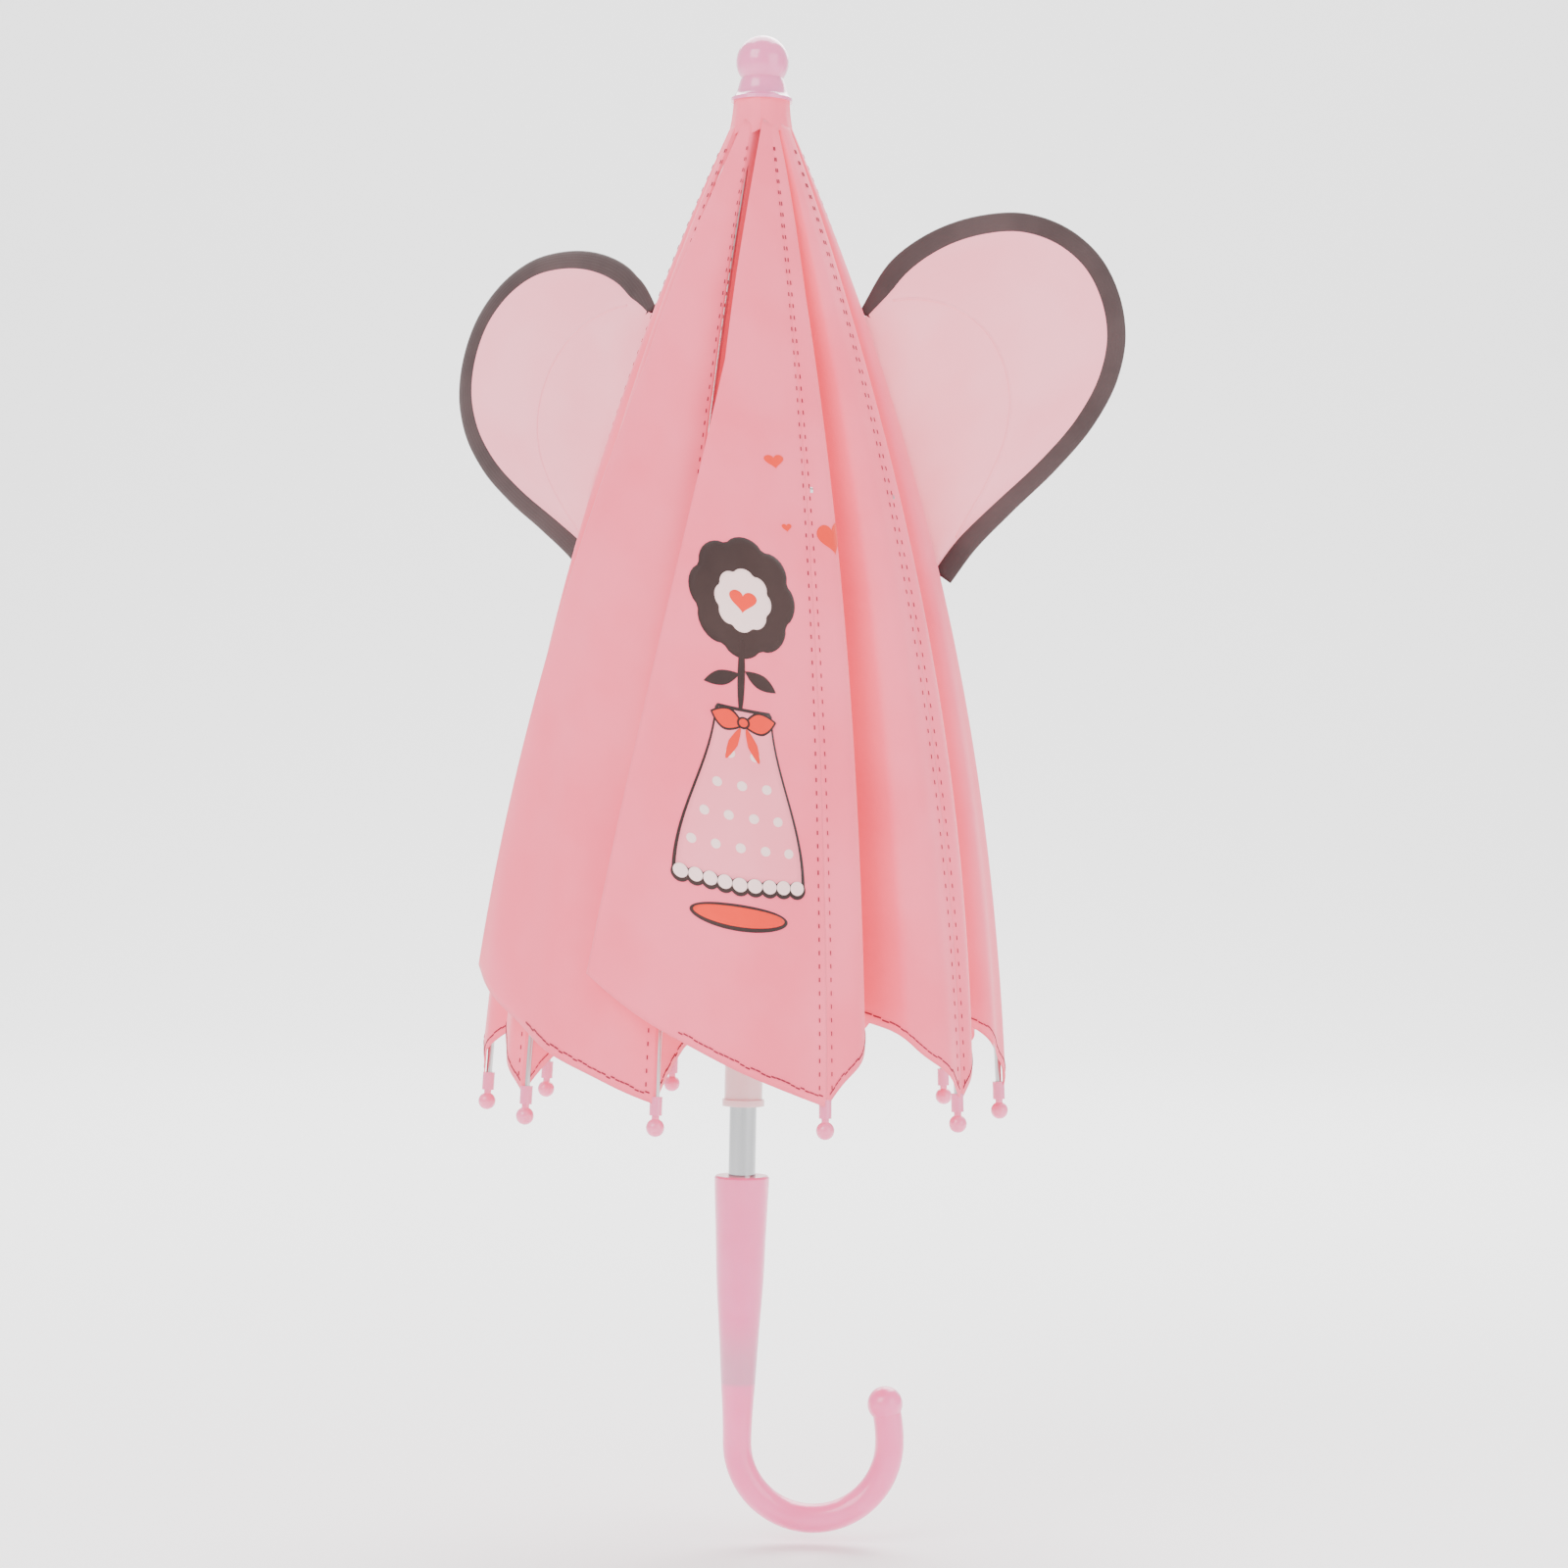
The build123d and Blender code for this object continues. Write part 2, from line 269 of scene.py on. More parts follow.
@dataclass(frozen=True)
class Cloth:
    """Thin woven polyester, read from the piece's own cloth_place attribute (across, along). Its glow is
    painted light: an emission in the cloth's own colour that stands in for light shining through the thin
    fabric.
    """

    name: str
    colour: Colour
    shade: Colour
    # painted glow: emission strength that stands in for light coming through the thin cloth
    painted_glow: float = 0.0
    threads: float = 900.0
    depth: float = 0.00006

    def build(self, weave: bpy.types.NodeTree) -> bpy.types.Material:
        """Make the material; weave is the shared plain weave."""
        material, nodes, shader = start_material(self.name)
        shader.inputs["Roughness"].default_value = 0.62
        shader.inputs["Sheen Weight"].default_value = 0.25
        shader.inputs["Sheen Roughness"].default_value = 0.4
        shader.inputs["Specular IOR Level"].default_value = 0.25
        # painted glow: the cloth emits its own colour, standing in for light shining through it, though it is
        # no lamp
        shader.inputs["Emission Color"].default_value = (*self.colour, 1)
        shader.inputs["Emission Strength"].default_value = self.painted_glow
        place = nodes.add("ShaderNodeAttribute", attribute_name="cloth_place")
        group = nodes.add("ShaderNodeGroup", node_tree=weave, Threads=self.threads)
        nodes.link(place.outputs["Vector"], group.inputs["Place"])
        two_tone(nodes, group.outputs["Tone"], self.shade, self.colour, (0.36, 0.60),
                 shader.inputs["Base Color"])
        bump_from(nodes, group.outputs["Height"], shader, self.depth)
        return material


@dataclass(frozen=True)
class Plastic:
    """Injection-moulded plastic; inner is a band of heights given a second, darker tone: painted shade where
    the steel tube inside shows through the translucent plastic.
    """

    name: str
    colour: Colour
    shade: Colour
    roughness: float = 0.22
    coat: float = 0.5
    subsurface: float = 0.0
    inner: tuple[float, float] | None = None
    # painted shade: the grey of the steel tube seen through the plastic
    tube_shadow_colour: Colour = (0.45, 0.3, 0.36)

    def build(self, skin: bpy.types.NodeTree) -> bpy.types.Material:
        """Make the material; skin is the shared moulding group."""
        material, nodes, shader = start_material(self.name)
        shader.inputs["Roughness"].default_value = self.roughness
        shader.inputs["Coat Weight"].default_value = self.coat
        shader.inputs["Coat Roughness"].default_value = 0.08
        shader.inputs["Subsurface Weight"].default_value = self.subsurface
        shader.inputs["Subsurface Scale"].default_value = 0.006
        shader.inputs["Subsurface Radius"].default_value = (1.0, 0.5, 0.6)
        place = nodes.add("ShaderNodeTexCoord")
        group = nodes.add("ShaderNodeGroup", node_tree=skin)
        nodes.link(place.outputs["Object"], group.inputs["Place"])
        bump_from(nodes, group.outputs["Height"], shader, 0.00004)
        if self.inner is None:
            two_tone(nodes, group.outputs["Tone"], self.shade, self.colour, (0.35, 0.62),
                     shader.inputs["Base Color"])
            return material
        # painted shade: over the inner band the colour is mixed towards the second colour, fading out upward,
        # for the steel tube seen through the handle
        mix = nodes.add("ShaderNodeMix", data_type="RGBA")
        two_tone(nodes, group.outputs["Tone"], self.shade, self.colour, (0.35, 0.62), mix.inputs[6])
        mix.inputs[7].default_value = (*self.tube_shadow_colour, 1)
        axes = nodes.add("ShaderNodeSeparateXYZ")
        nodes.link(place.outputs["Object"], axes.inputs[0])
        low = nodes.add("ShaderNodeMapRange", interpolation_type="SMOOTHSTEP", To_Min=0.0, To_Max=1.0)
        low.inputs["From Min"].default_value = self.inner[1] - 0.0285
        low.inputs["From Max"].default_value = self.inner[1] - 0.0265
        nodes.link(axes.outputs["Z"], low.inputs["Value"])
        both = nodes.add("ShaderNodeMath", operation="MULTIPLY")
        fade = nodes.add("ShaderNodeMapRange", interpolation_type="SMOOTHSTEP", To_Min=0.5, To_Max=0.0)
        fade.inputs["From Min"].default_value = self.inner[1] - 0.022
        fade.inputs["From Max"].default_value = self.inner[1]
        nodes.link(axes.outputs["Z"], fade.inputs["Value"])
        nodes.link(low.outputs[0], both.inputs[0])
        nodes.link(fade.outputs[0], both.inputs[1])
        nodes.link(both.outputs[0], mix.inputs[0])
        nodes.link(mix.outputs[2], shader.inputs["Base Color"])
        return material


@dataclass(frozen=True)
class Metal:
    """Plated or drawn steel with faint lines along it."""

    name: str
    colour: Colour
    roughness: float

    def build(self, skin: bpy.types.NodeTree) -> bpy.types.Material:
        """Make the material; skin is the shared moulding group."""
        material, nodes, shader = start_material(self.name)
        shader.inputs["Metallic"].default_value = 1.0
        shader.inputs["Roughness"].default_value = self.roughness
        place = nodes.add("ShaderNodeTexCoord")
        stretch = nodes.add("ShaderNodeMapping")
        stretch.inputs["Scale"].default_value = (6.0, 6.0, 0.3)
        nodes.link(place.outputs["Object"], stretch.inputs["Vector"])
        group = nodes.add("ShaderNodeGroup", node_tree=skin, Flow=300.0)
        nodes.link(stretch.outputs[0], group.inputs["Place"])
        dull = tuple(c * 0.86 for c in self.colour)
        two_tone(nodes, group.outputs["Tone"], dull, self.colour, (0.3, 0.7), shader.inputs["Base Color"])
        bump_from(nodes, group.outputs["Height"], shader, 0.00002)
        return material


class Finish(Enum):
    """Every finish of the umbrella."""

    # The glow values of the cloths and inks are painted light: emission standing in for light through the
    # thin fabric, strongest on the ears.
    CANOPY = Cloth("canopy_cloth", (1.0, 0.150, 0.235), (0.96, 0.115, 0.195), painted_glow=0.22)
    EAR = Cloth("ear_cloth", (1.0, 0.36, 0.43), (0.97, 0.31, 0.38), painted_glow=0.34, threads=700.0)
    BINDING = Cloth("ear_binding", (0.075, 0.047, 0.047), (0.05, 0.03, 0.03), threads=500.0, depth=0.0001)
    THREAD = Cloth("red_thread", (0.35, 0.02, 0.05), (0.25, 0.01, 0.03), threads=1500.0)
    INK_DARK = Cloth("print_dark", (0.045, 0.022, 0.02), (0.03, 0.014, 0.013))
    INK_RED = Cloth("print_red", (0.86, 0.035, 0.012), (0.78, 0.028, 0.01), painted_glow=0.1)
    INK_CREAM = Cloth("print_cream", (1.0, 0.70, 0.68), (0.95, 0.64, 0.62), painted_glow=0.06)
    INK_PINK = Cloth("print_pink", (1.0, 0.26, 0.34), (0.97, 0.22, 0.30), painted_glow=0.18)
    CAP = Plastic("cap_plastic", (0.90, 0.20, 0.42), (0.85, 0.17, 0.38), coat=0.9, subsurface=0.25)
    # the inner band paints the shadow of the steel tube inside the handle
    HANDLE = Plastic("handle_plastic", (1.0, 0.17, 0.40), (0.95, 0.14, 0.36), roughness=0.28, coat=0.6,
                     subsurface=0.5, inner=(-0.060, -0.049))
    TIP = Plastic("tip_plastic", (0.95, 0.19, 0.36), (0.90, 0.16, 0.32), coat=0.7, subsurface=0.3)
    RUNNER = Plastic("runner_plastic", (0.88, 0.62, 0.62), (0.83, 0.56, 0.57), roughness=0.3, subsurface=0.4)
    NOTCH = Plastic("notch_plastic", (0.80, 0.80, 0.78), (0.74, 0.74, 0.72), roughness=0.4, coat=0.1)
    CHROME = Metal("chrome_tube", (0.42, 0.42, 0.43), 0.10)
    STEEL = Metal("steel_wire", (0.62, 0.62, 0.62), 0.28)


class Wardrobe:
    """Builds each finish once and dresses the CAD nodes."""

    def __init__(self) -> None:
        """Make the shared groups and every material."""
        weave, skin = weave_group(), moulding_group()
        self.materials = {f: f.value.build(weave if isinstance(f.value, Cloth) else skin) for f in Finish}

    def __getitem__(self, finish: Finish) -> bpy.types.Material:
        """The material of a finish."""
        return self.materials[finish]

    def dress(self, node: str, finish: Finish) -> None:
        """Put a finish on a CAD node's slots."""
        piece = frame["nodes"][node]
        if not piece.material_slots:
            piece.data.materials.append(self[finish])
        for slot in piece.material_slots:
            slot.material = self[finish]

    def dress_all(self) -> None:
        """Dress every CAD node that stays in view."""
        single = {"shaft_tube": Finish.CHROME, "crook_handle": Finish.HANDLE, "ferrule_cap": Finish.CAP,
                  "crown_notch": Finish.NOTCH, "crown_ring_wire": Finish.STEEL, "runner": Finish.RUNNER,
                  "catch_upper": Finish.STEEL}
        starts = {"rib_tip_": Finish.TIP, "rib_": Finish.STEEL, "stretcher_": Finish.STEEL}
        for node in frame["nodes"]:
            finish = single.get(node) or next((f for s, f in starts.items() if node.startswith(s)), None)
            if finish is not None:
                self.dress(node, finish)


# ---------------------------------------------------------------- canopy


@dataclass(frozen=True)
class RibBow:
    """The arc of a rib wire in its own radial plane, at rest and swung open."""

    pivot_radius: float = 8.0 * MM
    pivot_height: float = 388.0 * MM
    length: float = 370.0 * MM
    slope_top: float = math.radians(24.0)
    slope_end: float = math.radians(3.0)
    step: float = math.radians(36.0)

    @property
    def bow_radius(self) -> float:
        """Radius of the arc."""
        return self.length / (self.slope_top - self.slope_end)

    def at(self, s: Array) -> Array:
        """(radius, height) at lengths s: the centre of the arc plus its radius along the turned slope."""
        here = self.slope_top - s / self.bow_radius
        r = self.pivot_radius + self.bow_radius * (np.cos(here) - math.cos(self.slope_top))
        z = self.pivot_height - self.bow_radius * (math.sin(self.slope_top) - np.sin(here))
        return np.stack([r, z], -1)

    def length_at(self, z: Array) -> Array:
        """The length along the wire where it reaches a height."""
        sine = math.sin(self.slope_top) - (self.pivot_height - z) / self.bow_radius
        return (self.slope_top - np.arcsin(sine)) * self.bow_radius

    def swung(self, points: Array, angle: float) -> Array:
        """Swing (radius, height) points outward about the pivot."""
        v = points - np.array([self.pivot_radius, self.pivot_height])
        c, s = math.cos(angle), math.sin(angle)
        turned = np.stack([v[..., 0] * c - v[..., 1] * s, v[..., 0] * s + v[..., 1] * c], -1)
        return turned + np.array([self.pivot_radius, self.pivot_height])

    def chord(self) -> tuple[Array, Array]:
        """Unit vectors, in (radial, tangential, up), along the chord and outward from it."""
        d = self.at(np.array(self.length)) - self.at(np.array(0.0))
        d = d / np.linalg.norm(d)
        return np.array([d[0], 0, d[1]]), np.array([-d[1], 0, d[0]])


@dataclass
class HalfPanel:
    """Half of a canopy panel, from the seam on its rib to the tuck beside the shaft.

    A point has a length s down the rib and a share t across the cloth. Across, the cloth leaves the
    seam at t = 0, runs round the outside as a share of the rib's radius and an azimuth away from it,
    folds, and dives to the tuck at t = 1. The tuck is where the open panel's middle line comes to.
    """

    rib: int
    side: int
    fold: float
    bow: RibBow = field(default_factory=RibBow)
    first_azimuth: float = 18.0
    stand_off: float = 1.7 * MM
    top: float = 3.0 * MM
    hem_gap: float = 3.5 * MM
    scallop: float = 30.0 * MM
    wide_fold: float = 36.0

    def __post_init__(self) -> None:
        """Work out the half panel's plane vectors and its tuck line."""
        self.azimuth = math.radians(self.first_azimuth + 36.0 * (self.rib - 1))
        self.opening = joint_limit("rib_hinge_01")
        self.swing = joint_limit("fold_01_left")
        self.along, self.out = self.bow.chord()
        self.leads = self.side < 0

    @property
    def tag(self) -> str:
        """The half's name in the frame."""
        return f"{self.rib:02d}_{'left' if self.side < 0 else 'right'}"

    @property
    def wide(self) -> bool:
        """Whether this half is a broad flap whose edge lies outside, over the next rib."""
        return self.leads and self.fold > self.wide_fold

    def section(self) -> tuple[list[float], list[float], list[float]]:
        """Knots, degrees away from the rib and share of the rib's radius; the last share is the tuck's.

        A broad flap's degrees are shares of its edge's own azimuth, times its fold.
        """
        f = self.fold
        if self.wide:
            return ([0, 0.12, 0.30, 0.50, 0.72, 0.90, 1],
                    [0, 0.12 * f, 0.30 * f, 0.50 * f, 0.72 * f, 0.90 * f, f],
                    [1, 1.03, 1.065, 1.09, 1.10, 1.105, 1.10])
        if self.leads:
            return ([0, 0.13, 0.26, 0.36, 0.42, 0.52, 0.78, 1],
                    [0, 0.36 * f, 0.80 * f, f, f + 0.6, 17, 17.6, 18],
                    [1, 1.01, 0.995, 0.95, 0.89, 0.74, 0.33, 0])
        if f > self.wide_fold:
            return ([0, 0.2, 0.5, 0.8, 1], [0, 1.5, 5, 12, 18], [1, 0.86, 0.56, 0.25, 0])
        return ([0, 0.12, 0.24, 0.34, 0.50, 0.78, 1], [0, 4, 9, 12.4, 15.4, 17, 18],
                [1, 1.0, 0.97, 0.90, 0.72, 0.33, 0])

    def edge(self, s: Array) -> Array:
        """The closed place of a broad flap's edge: the middle line turned about the chord until it lies
        on the outside of the bundle, at the flap's own radius."""
        points = self.turned_middle(s, np.radians(np.linspace(60.0, 165.0, 1401)))
        want = self.bow.at(s)[..., 0] * self.outer(s, np.array(1.10)) + self.stand_off
        miss = np.abs(np.hypot(points[..., 0], points[..., 1]) - want[..., None])
        return self.pick(points, miss)

    def turned_middle(self, s: Array, turns: Array) -> Array:
        """The open middle line at many turns about the chord, keeping its place along it and its distance."""
        middle = self.open_middle(s)
        distance, _ = self.chord_place(middle)
        down = (middle - np.array([self.bow.pivot_radius, 0, self.bow.pivot_height])) @ self.along
        x = distance[..., None] * np.cos(turns)
        y = distance[..., None] * np.sin(turns) * self.side
        radial = self.bow.pivot_radius + down[..., None] * self.along[0] + x * self.out[0]
        height = self.bow.pivot_height + down[..., None] * self.along[2] + x * self.out[2]
        return np.stack([radial, y, height], -1)

    @staticmethod
    def pick(points: Array, miss: Array) -> Array:
        """The point with the least miss along the last axis of turns."""
        best = np.argmin(miss, -1)[..., None, None]
        return np.take_along_axis(points, best, -2)[..., 0, :]

    def outer(self, s: Array, share: Array) -> Array:
        """The share of the rib's radius, with the pleats fading towards the crown."""
        return 1 + (share - 1) * np.clip(s / self.bow.length * 5, 0.25, 1)

    def to_row(self, local: Array) -> Array:
        """Turn (radial, tangential, up) of this rib into the row frame."""
        sin, cos = math.sin(self.azimuth), math.cos(self.azimuth)
        x = local[..., 0] * sin + local[..., 1] * cos
        y = -local[..., 0] * cos + local[..., 1] * sin
        return np.stack([x, y, local[..., 2]], -1)

    def chord_place(self, local: Array) -> tuple[Array, Array]:
        """Distance from the chord line, and the turn about it, 0 outward and rising towards the panel."""
        v = local - np.array([self.bow.pivot_radius, 0, self.bow.pivot_height])
        x, y = v @ self.out, v[..., 1] * self.side
        return np.hypot(x, y), np.arctan2(y, x)

    def open_middle(self, s: Array) -> Array:
        """The open panel's middle line, halfway between its two open ribs, swung back with the rib."""
        q = self.bow.swung(self.bow.at(s), self.opening)
        half = self.bow.step / 2
        middle = q[..., 0] * math.cos(half)
        flat = np.stack([middle * math.cos(half), q[..., 1]], -1)
        back = self.bow.swung(flat, -self.opening)
        return np.stack([back[..., 0], self.side * middle * math.sin(half), back[..., 1]], -1)

    def tuck(self, s: Array) -> Array:
        """Where the middle line lies when closed: turned about the chord into the mid plane, by the shaft."""
        points = self.turned_middle(s, np.radians(np.linspace(150.0, 205.0, 1101)))
        half = self.bow.step / 2
        miss = np.abs(points[..., 1] * self.side * math.cos(half) - points[..., 0] * math.sin(half))
        return self.pick(points, miss)

    def hem(self, t: Array) -> Array:
        """Length down the rib where the cloth ends: full at the seam, rising in a scallop to the tuck."""
        rise = t if self.wide else 1 - (1 - np.clip(t / 0.58, 0, 1)) ** 1.4
        return self.bow.length - self.hem_gap - self.scallop * rise

    def local(self, s: Array, t: Array) -> Array:
        """Points of the closed cloth in (radial, tangential, up) of its rib; s and t have one shape."""
        knots, degrees, shares = self.section()
        turn = np.radians(smooth_path(t, knots, degrees))
        rib = self.bow.at(s)
        share = smooth_path(t, knots, shares)
        low = s / self.bow.length
        phase = self.rib * 1.9 + self.side * 0.7
        if self.wide:
            edge = self.edge(s)
            turn = turn / math.radians(self.fold) * np.arctan2(edge[..., 1] * self.side, edge[..., 0])
            radius = rib[..., 0] * self.outer(s, share) + self.stand_off
            calm = np.sin(math.pi * np.clip(t, 0, 1))
            radius = radius + (1.3 * MM * np.sin(turn * 17 + phase + 2.0 * low)
                               + 1.0 * MM * np.sin(6 * low + phase)) * calm * low
            height = rib[..., 1] + (edge[..., 2] - rib[..., 1]) * t * t
            return np.stack([radius * np.cos(turn), radius * np.sin(turn) * self.side, height], -1)
        tuck = self.tuck(s)
        calm = np.sin(math.pi * np.clip(t / 0.42, 0, 1))
        radius = rib[..., 0] * self.outer(s, share) + self.stand_off
        radius = radius + (1.2 * MM * np.sin(turn * 26 + phase + 2.2 * low)
                           + 1.0 * MM * np.sin(6.0 * low + phase * 2.3)) * calm * low
        out = np.stack([radius * np.cos(turn), radius * np.sin(turn) * self.side, rib[..., 1]], -1)
        dive = np.clip((t - 0.36) / 0.64, 0, 1)
        dive = (dive * dive * (3 - 2 * dive))[..., None]
        return out * (1 - dive) + tuck * dive

    def weights(self, s: Array, t: Array, local: Array) -> Array:
        """Share of the half's own turn that each point takes, so that the open cloth is one taut sheet.

        The target lies on the line from the seam to the open middle line, at the point's own distance
        from the chord; the share is the turn still to go over the joint's whole turn.
        """
        seam = self.local(s, np.zeros_like(t))
        from_chord, turn = self.chord_place(local)
        seam_far, _ = self.chord_place(seam)
        middle_far, middle_turn = self.chord_place(self.open_middle(s))
        span = np.maximum(middle_far**2 - seam_far**2, 1e-8)
        way = np.clip((from_chord**2 - seam_far**2) / span, 0, 1.04)
        x = seam_far + way * (middle_far * np.cos(middle_turn) - seam_far)
        y = way * middle_far * np.sin(middle_turn)
        turn = np.where(turn < -0.5, turn + 2 * math.pi, turn)
        share = (turn - np.arctan2(y, x)) / self.swing
        return share * np.clip(t / 0.04, 0, 1)

    def place(self, s: Array, t: Array, lift: float = 0.0) -> tuple[Array, Array]:
        """Points in the row frame, lifted off the cloth along its outward normal, and their weights."""
        local = self.local(s, t)
        weights = self.weights(s, t, local)
        if lift:
            step = 0.004
            across = self.local(s, np.clip(t + step, 0, 1)) - self.local(s, np.clip(t - step, 0, 1))
            down = self.local(s + 0.5 * MM, t) - self.local(s - 0.5 * MM, t)
            normal = np.cross(down, across) * self.side
            normal = normal / np.maximum(np.linalg.norm(normal, axis=-1, keepdims=True), 1e-9)
            local = local + normal * lift
        return self.to_row(local), weights

    def attach(self, piece: bpy.types.Object, weights: Array, places: Array) -> None:
        """Let a piece bend between this half's rib and its own body by the given weights.
        """
        mesh = piece.data
        place = mesh.attributes.new("cloth_place", "FLOAT_VECTOR", "POINT")
        place.data.foreach_set("vector", np.ascontiguousarray(places, np.float32).ravel())
        pivot = self.to_row(np.array([self.bow.pivot_radius, 0, self.bow.pivot_height]))
        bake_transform(piece, f"rib_{self.rib:02d}", f"panel_{self.tag}", start=tuple(pivot),
                 end=(0, 0, BLEND_REACH))
        mesh.attributes["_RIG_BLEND"].data.foreach_set("value", weights.ravel().astype(np.float32))

    def places(self, s: Array, t: Array) -> Array:
        """Cloth coordinates: across the cloth, along the rib, and a step for each half."""
        across = t * 0.11 * (s / self.bow.length)
        return np.stack([across.ravel(), s.ravel(), np.full(s.size, 0.13 * self.rib + 0.05 * self.side)], -1)

    def build(self, wear: Wardrobe) -> bpy.types.Object:
        """The cloth of the half: a grid of the surface, thickened, in place of its CAD plate."""
        rows, columns = 120, 84
        v, t = np.meshgrid(np.linspace(0, 1, rows), np.linspace(0, 1, columns), indexing="ij")
        s = self.top + v * (self.hem(t) - self.top)
        points, weights = self.place(s, t)
        piece = new_piece(f"canopy_{self.tag}", points, grid_faces(rows, columns), wear[Finish.CANOPY])
        thicken(piece, CLOTH_WALL)
        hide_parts(f"panel_{self.tag}")
        self.attach(piece, weights, self.places(s, t))
        width, area = self.cut()
        log.info("canopy half %s", self.tag)
        return piece

    def cut(self) -> tuple[float, float]:
        """Hem width and area of the flat half gore, from the open umbrella.

        At a length s its width is half the gap between open ribs: the open rib's radius times the sine
        of half a step. The area sums that width down to the scalloped hem.
        """
        shares = np.linspace(0, 1, 60)
        s = np.linspace(self.top, self.bow.length - self.hem_gap, 400)
        width = self.bow.swung(self.bow.at(s), self.opening)[:, 0] * math.sin(self.bow.step / 2)
        inside = s[None, :] <= self.hem(shares)[:, None]
        return float(width[-1]), float((width[None, :] * inside).mean(0).sum() * (s[1] - s[0]))

    def stitches(self, wear: Wardrobe) -> bpy.types.Object:
        """Hem and seam stitching: short raised dashes 3 mm above the hem and beside the seam."""
        rng = np.random.default_rng(40 + self.rib * 2 + self.side)
        t_hem = np.arange(0.02, 0.6, 0.020)
        wander = rng.normal(0, 0.25 * MM, t_hem.size)
        s_hem = self.hem(t_hem) - 3.0 * MM + wander
        s_next = self.hem(t_hem + 0.017) - 3.0 * MM + wander
        s_seam = np.arange(14 * MM, 0.36, 4.6 * MM)
        t_seam = np.full(s_seam.size, 0.035)
        starts = np.concatenate([np.stack([s_hem, t_hem], -1), np.stack([s_seam, t_seam], -1)])
        ends = np.concatenate([np.stack([s_next, t_hem + 0.017], -1),
                               np.stack([s_seam + 1.5 * MM, t_seam], -1)])
        wide = np.concatenate([np.tile([0.28 * MM, 0.0], (t_hem.size, 1)),
                               np.stack([np.zeros(s_seam.size), 0.0009 / (s_seam + 0.03)], -1)])
        corners = np.stack([starts - wide, ends - wide, ends + wide, starts + wide], 1).reshape(-1, 2)
        points, weights = self.place(corners[:, 0], corners[:, 1], lift=0.28 * MM)
        faces = np.arange(len(corners)).reshape(-1, 4)
        piece = new_piece(f"stitching_{self.tag}", points, faces, wear[Finish.THREAD], smooth=False)
        thicken(piece, THREAD_WALL)
        self.attach(piece, weights, self.places(corners[:, 0], corners[:, 1]))
        return piece


@dataclass(frozen=True)
class Motif:
    """One printed shape: a closed outline about a centre, in millimetres across and up the closed front."""

    name: str
    finish: Finish
    x: float
    z: float
    kind: str
    width: float
    height: float
    layer: int = 1
    turn: float = 0.0

    def outline(self, angle: Array) -> Array:
        """The outline as (x, z) about its centre.

        A disc is an ellipse; a flower is one with eight lobes; a heart is the usual sine-cubed curve;
        a bell widens downward with its sides in an S; a leaf is an ellipse with pointed ends.
        """
        c, s = np.cos(angle), np.sin(angle)
        if self.kind == "heart":
            x = s**3
            z = (13 * c - 5 * np.cos(2 * angle) - 2 * np.cos(3 * angle) - np.cos(4 * angle)) / 16
        elif self.kind == "flower":
            lobes = 0.86 + 0.14 * np.abs(np.cos(4 * angle)) ** 0.6
            x, z = c * lobes, s * lobes
        elif self.kind == "bell":
            z = np.clip(s * 1.25, -1, 1)
            reach = 0.42 + 0.58 * (0.5 - 0.5 * np.sin(z * math.pi / 2 * 0.98)) ** 0.9
            x = np.clip(c * 1.6, -1, 1) * reach
        elif self.kind == "leaf":
            x, z = c * np.abs(c) ** 0.15, s * np.abs(s) ** 0.9
        else:
            x, z = c, s
        x, z = x * self.width / 2, z * self.height / 2
        a = math.radians(self.turn)
        return np.stack([x * math.cos(a) - z * math.sin(a), x * math.sin(a) + z * math.cos(a)], -1)


